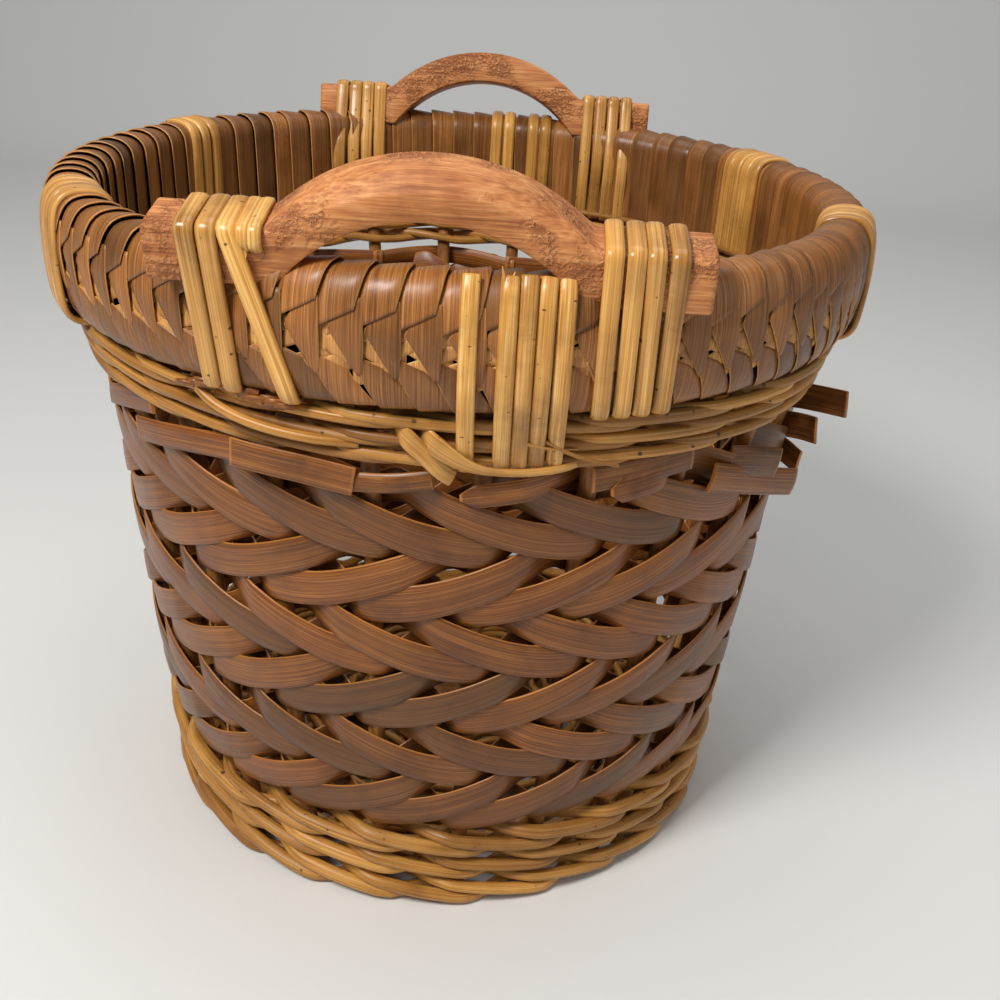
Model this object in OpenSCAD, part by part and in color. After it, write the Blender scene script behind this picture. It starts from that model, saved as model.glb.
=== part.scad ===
// Open round wicker basket: willow stakes, flat splints woven as a herringbone,
// a plaited rim and two carved handles bound on with cane.
// The origin is the middle of the foot, +Z is up, the front handle is towards -Y.
// Angles are counted from the front and grow to the right, seen from the front.

/* [Stakes] */
// Diameter of the circle of stakes at the foot
foot_d = 222; // [216:1:226]
// Diameter of that circle one splint row up
haunch_d = 236; // [230:1:240]
// Diameter of that circle at the belly
belly_d = 247; // [242:1:250]
// Diameter of that circle at the top of the splints
shoulder_d = 256; // [252:1:258]
// Diameter of that circle inside the rim
collar_d = 278; // [276:1:280]
// Thickness of a stake
stake_d = 6; // [5:0.1:6.4]
// Thickness of the end of a stake that is turned in under the base
leg_d = 5; // [4:0.1:5.4]
// Length of the turned-in end
leg_l = 31; // [20:1:40]

/* [Willow waling] */
// Thickness of the rods at the foot
foot_rod_d = 5.2; // [4.6:0.1:5.4]
// Height of one round at the foot
foot_round_h = 12.3; // [12.1:0.1:13]
// Thickness of the rods under the rim
collar_rod_d = 3.4; // [3:0.1:3.6]
// Height of one round under the rim
collar_round_h = 8; // [7.8:0.1:8.4]

/* [Splints] */
// Width of a splint
splint_w = 10.2; // [9:0.1:10.4]
// Thickness of a splint
splint_t = 0.9; // [0.7:0.05:1]
// Height of one herringbone row
row_h = 22.5; // [22:0.1:24]
// Width of the single splint above the rows
top_splint_w = 11; // [9:0.1:12]
// Height of the band that the single splint has
top_band_h = 14; // [13:0.1:16]

/* [Rim] */
// Outer diameter of the rim
rim_d = 300; // [298:1:304]
// Height of the rim from its lower edge to its crest
rim_h = 38.5; // [36:0.5:42]
// Height of the inner hoop
hoop_h = 25; // [20:0.5:26]
// Thickness of the inner hoop
hoop_t = 0.9; // [0.7:0.1:1]
// Thickness of a lining strip
lining_t = 1; // [0.8:0.1:1.2]
// Height of a lining strip
lining_h = 34.5; // [30:0.5:36]
// Thickness of the plaited strips
plait_t = 1.4; // [1:0.1:1.6]
// Thickness of the two cords between the plaited strips
cord_d = 5.6; // [5:0.1:5.8]

/* [Handles] */
// Length of a handle
handle_l = 155; // [150:1:160]
// Thickness of a handle from front to back
handle_t = 19; // [16:0.5:20]
// Height of the end blocks
block_h = 16.5; // [15:0.5:19]
// Height of the arch above the bottom of the blocks
arch_h = 34.5; // [32:0.5:38]
// Height of the finger gap above the bottom of the blocks
grip_h = 21.5; // [19:0.5:23]
// Half width of the finger gap at the bottom of the blocks
grip_half = 42; // [40:0.5:43]
// Half width of the arch where it leaves the blocks
arch_half = 44; // [43.5:0.5:44.5]
// Distance of a handle's middle from the middle of the basket
handle_y = 133; // [131:0.5:135]
// Outward lean of a handle in degrees
handle_lean = 11; // [8:0.5:14]
// Depth to which the blocks are saddled over the crest of the rim
saddle_h = 5; // [3:0.5:6]
// Diameter of the hole that the binding runs through
bind_hole_d = 6; // [5:0.1:6.5]
// Distance of that hole from the middle of the handle
bind_hole_x = 47; // [46:0.5:48]

/* [Bindings] */
// Width of a cane strand
cane_w = 5.2; // [4.6:0.1:5.3]
// Thickness of a cane strand
cane_t = 1.7; // [1.2:0.1:1.8]

/* [Base] */
// Thickness of the pierced base sticks
pierced_d = 5.5; // [5:0.1:5.8]
// Thickness of the base sticks that run through them
through_d = 4.4; // [4:0.1:4.6]
// Reach of the base sticks from the middle
stick_reach = 102; // [96:1:103]
// Thickness of the rods woven into the base
base_rod_d = 3.5; // [3:0.1:3.8]
// Radius of the first round of the base
base_first_r = 16.5; // [16:0.5:20]
// Step from one round of the base to the next
base_step = 6.3; // [5:0.1:8]

/* [Hidden] */
stakes = 24;
foot_rounds = 3;
collar_rounds = 3;
splint_rows = 6;
pitch = 360 / stakes;
gap = 0.25;
knuckle = 0.2;
seam_turn = 45;

foot_z0 = 0.35;
base_z = foot_z0 + foot_round_h;
rows_z0 = foot_z0 + foot_rounds * foot_round_h + gap;
rows_z1 = rows_z0 + splint_rows * row_h;
bind_z = rows_z1 + top_band_h + cane_t;
collar_z0 = bind_z + gap;
collar_z1 = collar_z0 + collar_rounds * collar_round_h;
rim_z0 = collar_z1 + cane_t + 1;
rim_z1 = rim_z0 + rim_h;
lining_z0 = rim_z0 - 0.6;
hood_z = rim_z0 + hoop_h + 1;
stake_z1 = hood_z - gap;
seat_z = rim_z1 - saddle_h;
cut_z = seat_z - 2;

foot_r = foot_d / 2;
collar_r = collar_d / 2;
rim_r = rim_d / 2;
flare_z = (rows_z1 + rim_z0) / 2;
flare_r = shoulder_d / 2 + 0.4 * (collar_r - shoulder_d / 2);
bend_z = base_z + leg_d;
wall = [[0, foot_r], [bend_z, foot_r], [rows_z0 + row_h, haunch_d / 2],
        [rows_z0 + 3.5 * row_h, belly_d / 2], [rows_z1, shoulder_d / 2],
        [flare_z, flare_r], [rim_z0, collar_r], [stake_z1, collar_r]];
function wall_r(z) = lookup(z, wall);

hoop_r1 = collar_r - stake_d / 2 - gap;
hoop_r0 = hoop_r1 - hoop_t;
lining_r = hoop_r0 - 0.15 - lining_t;
core_r0 = collar_r + stake_d / 2 + gap;
plait_r = rim_r - plait_t;
slath_step = through_d + 0.6;
pierced_w = pierced_d + 1.1;
slath_x = slath_step + through_d / 2 + gap;
lining_strips = 84;
plait_strips = 84;
base_rounds = floor((stick_reach - 3.5 - base_first_r) / base_step) + 1;

palm = [0.55, 0.36, 0.2];
willow = [0.79, 0.6, 0.33];
dark = [0.4, 0.26, 0.16];
cane = [0.85, 0.68, 0.42];
wood = [0.74, 0.46, 0.3];

function pad(i) = str(i < 10 ? "0" : "", i);
function spot(a, r, z) = [r * sin(a), -r * cos(a), z];

// Bindings: name, the angle that the strands stand square to, each strand's place across
// it and its turn out of square, whether they hold a handle, and whether they also go
// round the waling under the rim and have cut tops. The places leave the stakes free.
function square(places) = [for (x = places) [x, 0]];
right_end = [[49.7, 10], [57, -9.5], [62.5, -9.5], [68, -9.5]];
left_end = [for (p = right_end) [-p[0], -p[1]]];
side_places = square([-8.6, -2.9, 2.9, 8.6]);
BINDINGS = [
    ["binding_front", 0, square([11.3, 22.9, 28.3, 33.7, 39.1]), false, true],
    ["binding_right_front", 75, side_places, false, false],
    ["binding_right_back", 120, side_places, false, false],
    ["binding_back", 180, square([-6.6, -12.1, -24.2, -29.7]), false, false],
    ["binding_left_back", 240, square([-2.9, 2.9, 8.6]), false, false],
    ["binding_left_front", 300, side_places, false, false],
    ["handle_binding_front_right", 0, right_end, true, false],
    ["handle_binding_front_left", 0, [for (i = [1:3]) left_end[i]], true, false],
    ["handle_binding_back_right", 180, left_end, true, false],
    ["handle_binding_back_left", 180, right_end, true, false]];

// A closed strand: rings of n points each, joined one to the next and the last to the first.
module closed_strand(rings) {
    n = len(rings[0]);
    m = len(rings);
    points = [for (ring = rings) for (p = ring) p];
    faces = [for (i = [0:m - 1]) for (j = [0:n - 1])
        let (a = i * n, b = ((i + 1) % m) * n, k = (j + 1) % n)
        each [[a + j, a + k, b + k], [a + j, b + k, b + j]]];
    polyhedron(points = points, faces = faces, convexity = 10);
}

// One strand of a three-strand wale: before two stakes, then behind one.
// A knot is [place in pitches, height, offset from the stakes]; section is [offset, height].
module wale_strand(knots, section, z, shift) {
    closed_strand([for (k = [0:stakes / 3 - 1]) for (knot = knots)
        let (a = pitch * (3 * k + knot[0] + shift), zc = z + knot[1])
        [for (s = section) spot(a, wall_r(zc + s[1]) + knot[2] + s[0], zc + s[1])]]);
}

function round_section(d, n) = [for (i = [0:n - 1]) d / 2 * [cos(360 * i / n), sin(360 * i / n)]];
function flat_section(w, t) = [[-t / 2, -w / 2], [t / 2, -w / 2], [t / 2, w / 2], [-t / 2, w / 2]];

// A round of three willow rods.
module rod_wale(z, rod, round_h, sides) {
    rise = (round_h - rod) / 2 - 0.2;
    out = stake_d / 2 + rod / 2 + gap;
    knots = [[0, rise, 0], [0.5, rise, out], [1.5, -rise, out], [2, -rise, 0], [2.5, 0, -out]];
    color(willow) for (s = [0:2])
        wale_strand(knots, round_section(rod, sides), z, s);
}

// A herringbone row: three flat splints that come down to the right in even rows and to
// the left in odd ones. The lower end of each float lies on top of the next one's start.
module splint_row(i) {
    rise = (row_h - splint_w) / 2 - 0.35;
    out = stake_d / 2 + splint_t / 2 + gap;
    knots = [[0, rise, 0], [0.5, rise, out], [1, 0, out + 0.5], [1.5, -rise, out],
             [2, -rise, 0], [2.5, 0, -out]];
    color(palm) mirror([i % 2, 0, 0]) for (s = [0:2])
        wale_strand(knots, flat_section(splint_w, splint_t), rows_z0 + (i - 0.5) * row_h, s);
}

module top_splint() {
    out = stake_d / 2 + splint_t / 2 + gap;
    knots = [[0, 0.5, 0], [0.5, 0.5, out], [1.5, -0.5, out], [2, -0.5, 0], [2.5, 0, -out]];
    color(palm) wale_strand(knots, flat_section(top_splint_w, splint_t),
                            rows_z1 + top_band_h / 2, 0);
}

// A straight rod between two points of the plane through the axis. The turn about its own
// axis keeps its seam away from its neighbour's, so that the two fuse cleanly.
module rod_between(p, q, d, turn) {
    v = q - p;
    translate([p[0], 0, p[1]]) rotate([0, atan2(v[0], v[1]), 0]) rotate([0, 0, turn])
        cylinder(h = norm(v), d = d, $fn = 32);
}

module stake(i) {
    path = [for (p = wall) [p[1], p[0]]];
    color(willow) rotate([0, 0, (i - 0.5) * pitch - 90]) {
        for (k = [0:len(path) - 2]) rod_between(path[k], path[k + 1], stake_d, k * seam_turn);
        for (k = [1:len(path) - 2]) translate([path[k][0], 0, path[k][1]])
            sphere(d = stake_d + knuckle, $fn = 32);
        rod_between([foot_r - leg_l, base_z], [foot_r, base_z], leg_d, seam_turn);
    }
}

// Base sticks: three are pierced and three run through them, and each outer one
// is opened out to its own twelfth of the circle.
module base_stick(offset, d, bend_x) {
    spread = sign(offset) * 30;
    if (offset == 0)
        rotate([0, 90, 0]) cylinder(h = 2 * stick_reach, d = d, center = true, $fn = 32);
    else translate([0, offset, 0]) {
        rotate([0, 90, 0]) rotate([0, 0, 2 * seam_turn])
            cylinder(h = 2 * bend_x, d = d, center = true, $fn = 32);
        for (side = [-1, 1]) translate([side * bend_x, 0, 0]) {
            aim = side > 0 ? spread : 180 - spread;
            rotate([0, 90, (aim + 90 - 90 * side) / 2]) sphere(d = d + knuckle, $fn = 32);
            rotate([0, 90, aim]) rotate([0, 0, seam_turn])
                cylinder(h = stick_reach - norm([bend_x, offset]), d = d, $fn = 32);
        }
    }
}

module base_sticks_pierced() {
    color(willow) translate([0, 0, base_z]) for (row = [-1:1]) difference() {
        union() {
            base_stick(row * (pierced_w + 0.3), pierced_d, 15);
            translate([-slath_x - 2, row * (pierced_w + 0.3) - pierced_w / 2, -through_d / 2 - 1.5])
                cube([2 * slath_x + 4, pierced_w, through_d + 3]);
        }
        translate([-slath_x, row * (pierced_w + 0.3) - pierced_w, -through_d / 2 - 0.15])
            cube([2 * slath_x, 2 * pierced_w, through_d + 0.3]);
    }
}

module base_sticks_through() {
    color(willow) translate([0, 0, base_z]) rotate([0, 0, 90]) for (row = [-1:1])
        base_stick(row * slath_step, through_d, 16);
}

// Rounds of the base, one rod above and one below the sticks.
module base_weave() {
    level = pierced_d / 2 + base_rod_d / 2 + 0.15;
    color(willow) for (i = [0:base_rounds - 1]) for (side = [-1, 1])
        translate([0, 0, base_z + side * level])
            rotate_extrude($fn = 96) translate([base_first_r + i * base_step, 0]) circle(d = base_rod_d, $fn = 24);
}

module rim_core() {
    crest_r = rim_r - 7.5;
    bead_r = rim_r - cord_d - 0.3;
    section = [
        [core_r0, rim_z0], [core_r0, hood_z], [hoop_r0 + 0.2, hood_z], [hoop_r0 + 0.2, rim_z1 - 5.5],
        [hoop_r0 + 2.6, rim_z1 - 1.8], [crest_r, rim_z1 - 0.4], [rim_r - 4.7, rim_z1 - 5.5],
        [plait_r - 0.4, rim_z1 - 12], [bead_r, rim_z1 - 13], [bead_r, rim_z0 + 13],
        [plait_r - 0.4, rim_z0 + 12], [rim_r - 5.2, rim_z0 + 1]];
    color(dark) rotate_extrude($fn = 144) polygon(section);
}

module rim_inner_hoop() {
    color(dark) translate([0, 0, rim_z0]) rotate_extrude($fn = 144)
        translate([hoop_r0, 0]) square([hoop_t, hoop_h]);
}

module rim_lining() {
    strip_w = 2 * PI * lining_r / lining_strips - 0.5;
    color(dark) for (i = [0:lining_strips - 1]) rotate([0, 0, i * 360 / lining_strips])
        translate([lining_r, -strip_w / 2, lining_z0]) cube([lining_t - 0.1, strip_w, lining_h]);
}

// A ring of slanted strips on a cone, from [radius, height] low to [radius, height] high.
module plait_ring(low, high, lean) {
    tilt = atan2(low[0] - high[0], high[1] - low[1]);
    slope_l = norm(high - low);
    half = 180 / plait_strips;
    low_w = low[0] * tan(half) - 0.3;
    high_w = high[0] * tan(half) - 0.3;
    for (i = [0:plait_strips - 1]) rotate([0, 0, i * 2 * half])
        translate([0, -low[0], low[1]]) rotate([90 - tilt, 0, 0]) linear_extrude(plait_t)
            polygon([[-low_w - lean, 0], [low_w - lean, 0], [high_w + lean, slope_l], [-high_w + lean, slope_l]]);
}

module rim_plait_upper() {
    color(palm) plait_ring([plait_r - 0.1, rim_z1 - 11.8], [plait_r - 4.6, rim_z1 - 0.8], 5);
}

module rim_plait_lower() {
    color(palm) plait_ring([plait_r - 3.2, rim_z0 + 0.5], [plait_r - 0.1, rim_z0 + 12], -5);
}

module rim_cords() {
    middle = (rim_z0 + rim_z1) / 2;
    color(palm) for (side = [-1, 1]) translate([0, 0, middle + side * (cord_d / 2 + 0.1)])
        rotate_extrude($fn = 144) translate([rim_r - cord_d / 2, 0]) circle(d = cord_d, $fn = 24);
}

// Side view of a handle: two blocks, an arch between them and the finger gap under it.
module handle_side() {
    rise = arch_h - block_h;
    crown_r = (arch_half * arch_half + rise * rise) / (2 * rise);
    grip_r = (grip_half * grip_half + grip_h * grip_h) / (2 * grip_h);
    round_r = 5;
    difference() {
        union() {
            for (side = [-1, 1]) scale([side, 1]) {
                translate([grip_half, 0]) square([handle_l / 2 - grip_half, block_h - round_r]);
                translate([grip_half, 0]) square([handle_l / 2 - grip_half - round_r, block_h]);
                translate([handle_l / 2 - round_r, block_h - round_r]) circle(r = round_r, $fn = 48);
            }
            intersection() {
                translate([0, arch_h - crown_r]) circle(r = crown_r, $fn = 180);
                translate([-bind_hole_x - 2, 0]) square([2 * bind_hole_x + 4, arch_h + 1]);
            }
        }
        translate([0, grip_h - grip_r]) circle(r = grip_r, $fn = 120);
    }
}

// What the handles are saddled over: the section of the rim with room all round.
module rim_envelope() {
    rotate_extrude($fn = 144) polygon([
        [lining_r - 5, rim_z0], [lining_r - 5, rim_z1 - 2.5], [lining_r + 0.4, rim_z1 - 2.5],
        [hoop_r0 + 2.2, rim_z1 - 0.8], [rim_r - 8.5, rim_z1 + 0.2], [rim_r - 3.6, rim_z1 + 0.2], [rim_r + 1, rim_z1 - 11],
        [rim_r + 1, rim_z0]]);
}

module handle() {
    color(wood) difference() {
        translate([0, -handle_y, seat_z]) rotate([handle_lean, 0, 0]) difference() {
            translate([0, handle_t / 2, 0]) rotate([90, 0, 0]) linear_extrude(handle_t) handle_side();
            for (side = [-1, 1]) translate([side * bind_hole_x, handle_t, block_h * 0.62])
                rotate([90, 0, 0]) cylinder(h = 2 * handle_t, d = bind_hole_d, $fn = 48);
        }
        rim_envelope();
    }
}

// The corner that a taut line reaches after p: all the others lie on its right.
function next_corner(points, p) = [for (q = points) if (q != p && min([for (s = points)
    (s[0] - p[0]) * (q[1] - p[1]) - (s[1] - p[1]) * (q[0] - p[0])]) > -0.0001) q][0];
function taut(points, path) = let (q = next_corner(points, path[len(path) - 1]))
    q == path[0] || len(path) > len(points) ? path : taut(points, concat(path, [q]));

// An outline grown by t on every side; its corners run clockwise.
function grown(path, t) = [for (i = [0:len(path) - 1])
    let (n = len(path), a = path[(i + n - 1) % n], b = path[i], c = path[(i + 1) % n],
         u = (b - a) / norm(b - a), v = (c - b) / norm(c - b),
         nu = [-u[1], u[0]], nv = [-v[1], v[0]])
    b + t * (nu + nv) / (1 + nu * nv)];

// What a strand is drawn tight around, in its own plane at x from the axis.
function across(r, x) = sqrt(r * r - x * x);
function rim_corners(x, low) = let (far = abs(x) + cane_w / 2, near = abs(x) - cane_w / 2) concat(
    low ? wale_corners(far, near) : [[across(lining_r - 0.3, far), lining_z0 - 0.1]], [
    [across(lining_r - 0.3, far), lining_z0 + lining_h + 0.3],
    [across(hoop_r0 + 2.2, far), rim_z1 - 0.8], [across(rim_r - 8.5, far), rim_z1 + 0.2],
    [across(rim_r - 3.6, near), rim_z1 + 0.2], [across(rim_r + 1, near), rim_z1 - 11],
    [across(rim_r + 1, near), rim_z0 + 12.5], [across(rim_r - 1.6, near), lining_z0 - 0.1]]);
function wale_corners(far, near) = let (out = stake_d / 2 + collar_rod_d + 2 * gap) [
    [across(wall_r(collar_z0) - out - 0.2, far), bind_z],
    [across(wall_r(collar_z0) + out + 0.4, near), bind_z]];
function handle_corners(x, turn) = let (lean_y = block_h * sin(handle_lean),
    top = seat_z + block_h * cos(handle_lean) + gap, drop = handle_t / 2 * sin(handle_lean),
    half = handle_t / 2 * cos(handle_lean) + gap + cane_w / 2 * tan(abs(turn))) [
    for (p = [[-half, seat_z + drop], [lean_y - half, top + drop], [lean_y + half, top - drop],
              [half, seat_z - drop - gap]])
        [(handle_y + p[0] + x * sin(turn)) / cos(turn), p[1]]];

module binding(b) {
    color(cane) for (p = b[2]) {
        x = p[0] * cos(p[1]) - (handle_y + handle_t / 2) * sin(p[1]);
        corners = concat(rim_corners(x, b[4]), b[3] ? handle_corners(x, p[1]) : []);
        path = taut(corners, [corners[0]]);
        rotate([0, 0, b[1] + p[1] - 90]) translate([0, x + cane_w / 2, 0]) rotate([90, 0, 0])
            linear_extrude(cane_w) difference() {
                polygon(grown(path, cane_t));
                polygon(path);
                if (b[4]) translate([0, cut_z]) square([rim_r + 10, rim_h]);
            }
    }
}

for (i = [1:stakes]) stake(i);
for (i = [1:foot_rounds]) rod_wale(foot_z0 + (i - 0.5) * foot_round_h, foot_rod_d, foot_round_h, 5);
for (i = [1:splint_rows]) splint_row(i);
for (i = [1:collar_rounds]) rod_wale(collar_z0 + (i - 0.5) * collar_round_h, collar_rod_d, collar_round_h, 4);
for (b = BINDINGS) binding(b);
base_sticks_pierced();
base_sticks_through();
base_weave();
top_splint();
rim_core();
rim_inner_hoop();
rim_lining();
rim_plait_upper();
rim_plait_lower();
rim_cords();
handle();  // handle_front
rotate([0, 0, 180]) handle();  // handle_back
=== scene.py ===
"""Looks of a round wicker basket: woven splints and willow rods, a plaited rim,
two carved handles and cane bindings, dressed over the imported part.

Lengths in this script are millimetres until a mesh is made; angles are degrees counted
from the front (-Y) and growing to the right, as in the part's source.
"""
import itertools
import math

import bpy
import numpy as np
from mathutils import Matrix, Vector


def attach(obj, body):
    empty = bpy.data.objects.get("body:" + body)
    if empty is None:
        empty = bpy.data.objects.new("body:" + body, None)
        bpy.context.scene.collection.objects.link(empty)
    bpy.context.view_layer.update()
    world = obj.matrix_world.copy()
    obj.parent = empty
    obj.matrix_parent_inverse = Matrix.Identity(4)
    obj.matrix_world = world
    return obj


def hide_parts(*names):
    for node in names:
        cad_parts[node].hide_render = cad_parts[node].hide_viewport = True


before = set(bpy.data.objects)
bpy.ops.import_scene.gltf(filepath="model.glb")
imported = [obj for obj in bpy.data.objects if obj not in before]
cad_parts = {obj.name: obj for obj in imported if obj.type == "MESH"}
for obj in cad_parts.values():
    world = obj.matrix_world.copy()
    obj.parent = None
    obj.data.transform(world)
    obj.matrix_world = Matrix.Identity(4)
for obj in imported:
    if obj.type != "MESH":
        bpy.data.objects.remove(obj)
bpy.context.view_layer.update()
MM = 0.001

# ---------------------------------------------------------------- sizes of the part
STAKES = 24
PITCH = 360 / STAKES
FLOATS = STAKES // 3   # of one strand in one turn round the basket
STAKE_D = 6.0
GAP = 0.25
FOOT_ROD, FOOT_ROUND, FOOT_ROUNDS = 5.2, 12.3, 3
COLLAR_ROD, COLLAR_ROUND, COLLAR_ROUNDS = 3.8, 8.0, 3
SPLINT_T, ROW_H, ROWS = 1.1, 22.5, 6
FOOT_Z0 = 0.35
BASE_Z = FOOT_Z0 + FOOT_ROUND
ROWS_Z0 = FOOT_Z0 + FOOT_ROUNDS * FOOT_ROUND + GAP
ROWS_Z1 = ROWS_Z0 + ROWS * ROW_H
TOP_BAND = 14.0
BIND_Z = ROWS_Z1 + TOP_BAND + 1.7
COLLAR_Z0 = BIND_Z + GAP
COLLAR_Z1 = COLLAR_Z0 + COLLAR_ROUNDS * COLLAR_ROUND
RIM_Z0 = COLLAR_Z1 + 2.7
RIM_Z1 = RIM_Z0 + 38.5
SEAT_Z = RIM_Z1 - 5.0
RIM_R = 150.0
# The stakes' circle: heights, and the radius at each.
WALL_Z = [0, BASE_Z + 5, ROWS_Z0 + ROW_H, ROWS_Z0 + 3.5 * ROW_H, ROWS_Z1,
          (ROWS_Z1 + RIM_Z0) / 2, RIM_Z0, RIM_Z1]
WALL_R = [111, 111, 118, 123.5, 128, 132.4, 139, 139]
HANDLE_L, HANDLE_T, HANDLE_Y, HANDLE_LEAN = 155.0, 19.0, 133.0, 11.0
BLOCK_H, ARCH_H, GRIP_H, GRIP_HALF, ARCH_HALF = 16.5, 34.5, 21.5, 42.0, 44.0
HOLE_X, HOLE_UP, HOLE_D = 47.0, 0.62, 6.0   # up: as a share of the block's height
CANE_W, CANE_T = 5.2, 1.9

# ---------------------------------------------------------------- sizes read again from the photograph
# The splints' width, the step from one row to the next, and the foot of the first row.
FLOAT_W, FLOAT_ROW, FLOAT_Z0 = 13.4, 23.6, 38.3
# The collar's foot, the step from one round to the next, and where the front strands end.
COLLAR_FOOT, COLLAR_BEAT, FRONT_FOOT = 193.6, 6.4, BIND_Z + 7.0
# Length of the grain: of a splint and of a rod from stake to stake, of a loose piece from end
# to end, and of a binding from ring to ring.
SPLINT_RUN, ROD_RUN, LOOSE_RUN, CANE_STEP = 32.0, 33.0, 60, 1.4
# Samples of a strand from stake to stake, and where it begins, behind a stake.
SPLINT_STEPS, ROD_STEPS, BEHIND = 18, 10, 2.5


def wall_r(z):
    """Radius of the stakes' circle at height z."""
    return np.interp(z, WALL_Z, WALL_R)


def spot(angle, r, z):
    """Points at an angle from the front, a radius and a height."""
    a = np.radians(angle)
    return np.stack(np.broadcast_arrays(r * np.sin(a), -r * np.cos(a), z), -1)


def ease(t):
    """0 to 1 with level ends: 3t^2 - 2t^3."""
    t = np.clip(t, 0, 1)
    return t * t * (3 - 2 * t)


def spin(angle):
    """The matrix of a turn about Z, by an angle in radians."""
    c, s = math.cos(angle), math.sin(angle)
    return np.array([[c, -s, 0], [s, c, 0], [0, 0, 1]])


def smooth_line(corners, count, rounding=3):
    """An open line with its corners cut off `rounding` times, then `count` even steps."""
    line = np.asarray(corners, float)
    for _ in range(rounding):
        first = 0.75 * line[:-1] + 0.25 * line[1:]
        second = 0.25 * line[:-1] + 0.75 * line[1:]
        inner = np.stack([first, second], 1).reshape(-1, line.shape[1])
        line = np.concatenate([line[:1], inner, line[-1:]])
    steps = np.concatenate([[0], np.cumsum(np.linalg.norm(np.diff(line, axis=0), axis=1))])
    even = np.linspace(0, steps[-1], count)
    return np.stack([np.interp(even, steps, line[:, i]) for i in range(line.shape[1])], -1)


# ---------------------------------------------------------------- meshes
def shell(name, points, material, nodes=(), grain=None, tone=None, edge=None):
    """A mesh of closed strips. points is [strip, ring, point round the ring, xyz] in mm;
    each strip joins its rings by quads and closes its two ends. grain, tone and edge are
    kept as attributes for the material."""
    k, m, n = points.shape[:3]
    index = np.arange(k * m * n).reshape(k, m, n)
    low, high = index[:, :-1], index[:, 1:]
    quads = np.stack([low, np.roll(low, -1, 2), np.roll(high, -1, 2), high], -1).reshape(-1, 4)
    caps = np.concatenate([index[:, 0, ::-1], index[:, -1]])
    flat = points.reshape(-1, 3) * MM
    a, b, c, d = (flat[quads[:, i]] for i in range(4))
    volume = (np.cross(a, b) * c).sum() + (np.cross(a, c) * d).sum()
    if volume < 0:
        quads, caps = quads[:, ::-1], caps[:, ::-1]
    mesh = bpy.data.meshes.new(name)
    mesh.vertices.add(len(flat))
    mesh.vertices.foreach_set("co", flat.ravel())
    mesh.loops.add(quads.size + caps.size)
    mesh.loops.foreach_set("vertex_index", np.concatenate([quads.ravel(), caps.ravel()]))
    mesh.polygons.add(len(quads) + len(caps))
    starts = np.concatenate([np.arange(len(quads)) * 4, quads.size + np.arange(len(caps)) * n])
    mesh.polygons.foreach_set("loop_start", starts)
    mesh.polygons.foreach_set("use_smooth", np.repeat([True, False], [len(quads), len(caps)]))
    mesh.update(calc_edges=True)
    mesh.validate()
    for label, values in (("tone", tone), ("edge", edge)):
        if values is not None:
            data = mesh.attributes.new(label, "FLOAT", "POINT").data
            data.foreach_set("value", np.broadcast_to(values, (k, m, n)).astype(np.float32).ravel())
    if grain is not None:
        data = mesh.attributes.new("grain", "FLOAT_VECTOR", "POINT").data
        data.foreach_set("vector", np.broadcast_to(grain, (k, m, n, 3)).astype(np.float32).ravel())
    mesh.materials.append(material)
    piece = bpy.data.objects.new(name, mesh)
    bpy.context.scene.collection.objects.link(piece)
    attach(piece, "root")
    if nodes:
        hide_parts(*nodes)
    return piece


def frames_along(line):
    """Unit directions along lines of shape [..., ring, xyz], by central differences."""
    ahead = np.gradient(line, axis=-2)
    return ahead / np.linalg.norm(ahead, axis=-1, keepdims=True)


# Sections, as shares of the half width and of the depth: a flat strip, a round rod (as angles)
# and a half-round cane.
FLAT_ACROSS = np.array([-1, -0.93, -0.45, 0, 0.45, 0.93, 1, 0.93, 0, -0.93])
FLAT_DEPTH = np.array([0, 0.8, 1, 1.08, 1, 0.8, 0, -1, -1, -1])
ROUND = np.linspace(0, 2 * np.pi, 10, endpoint=False)
HALF_ACROSS = np.array([-1, -0.95, -0.72, -0.36, 0, 0.36, 0.72, 0.95, 1, 0.6, -0.6])
HALF_DEPTH = np.array([0, 0.55, 0.86, 0.98, 1, 0.98, 0.86, 0.55, 0, -0.12, -0.12])


# ---------------------------------------------------------------- shader nodes
def add(tree, kind, links=None, **settings):
    """Adds a node, sets its fields, and fills its inputs from values or from sockets."""
    node = tree.nodes.new(kind)
    for field, value in settings.items():
        setattr(node, field, value)
    for socket, value in (links or {}).items():
        if isinstance(value, bpy.types.NodeSocket):
            tree.links.new(value, node.inputs[socket])
        else:
            node.inputs[socket].default_value = value
    return node


def worked(tree, operation, first, second, clamp=False):
    """The result of a Math node on two values."""
    return add(tree, "ShaderNodeMath", {0: first, 1: second}, operation=operation, use_clamp=clamp).outputs[0]


def ranged(tree, value, low, high, start, end):
    """A value from low to high brought to start to end, and held there beyond."""
    return add(tree, "ShaderNodeMapRange", {0: value, 1: low, 2: high, 3: start, 4: end}).outputs[0]


def group(name, inputs):
    """An empty node group with one float output. An input whose value is None is a vector,
    and the others are floats."""
    tree = bpy.data.node_groups.new(name, "ShaderNodeTree")
    for label, value in inputs.items():
        kind = "NodeSocketVector" if value is None else "NodeSocketFloat"
        socket = tree.interface.new_socket(label, in_out="INPUT", socket_type=kind)
        if value is not None:
            socket.default_value = value
    tree.interface.new_socket("Value", in_out="OUTPUT", socket_type="NodeSocketFloat")
    return tree, tree.nodes.new("NodeGroupInput").outputs, tree.nodes.new("NodeGroupOutput").inputs


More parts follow.
